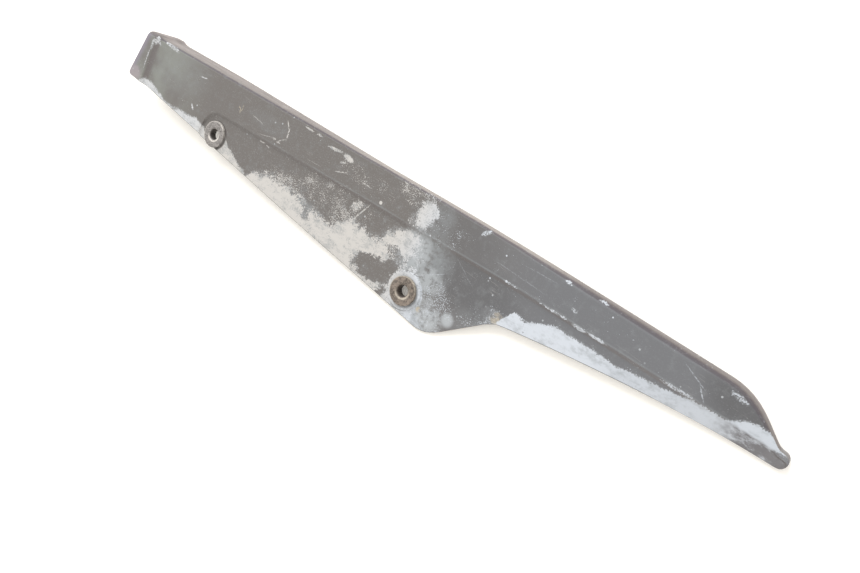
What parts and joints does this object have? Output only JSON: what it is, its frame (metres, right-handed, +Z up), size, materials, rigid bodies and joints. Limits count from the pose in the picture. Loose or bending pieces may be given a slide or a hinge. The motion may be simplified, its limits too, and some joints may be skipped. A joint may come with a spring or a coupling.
{
  "type": "motorcycle chain guard",
  "caption": "Long slim motorcycle chain guard: a one-piece moulded shell with a turned-in top flange, a flared front lip, a sunk lower panel and steel collars for its screws.",
  "frame": {"origin": "bottom centre of the box round the guard as it lies on a flat surface, outer face up", "axes": "+X along the guard from the front lip to the tail, +Y across it towards the top flange, +Z up; the face leans by about twelve degrees, as the guard rests on its flange, its tip and the lower edge of its lobe"},
  "size_m": [0.4992, 0.0746, 0.0271],
  "materials": {
    "painted_shell": "dark warm grey paint, worn through to pale grey along the lower edge, round the collars and on the tail",
    "front_collar_steel": "dull scratched steel with bright edges",
    "rear_collar_steel": "steel browned by rust, brighter round the bore"
  },
  "bodies": {
    "root": {"guard": "painted_shell", "front_collar": "front_collar_steel", "rear_collar": "rear_collar_steel"}
  },
  "joints": []
}
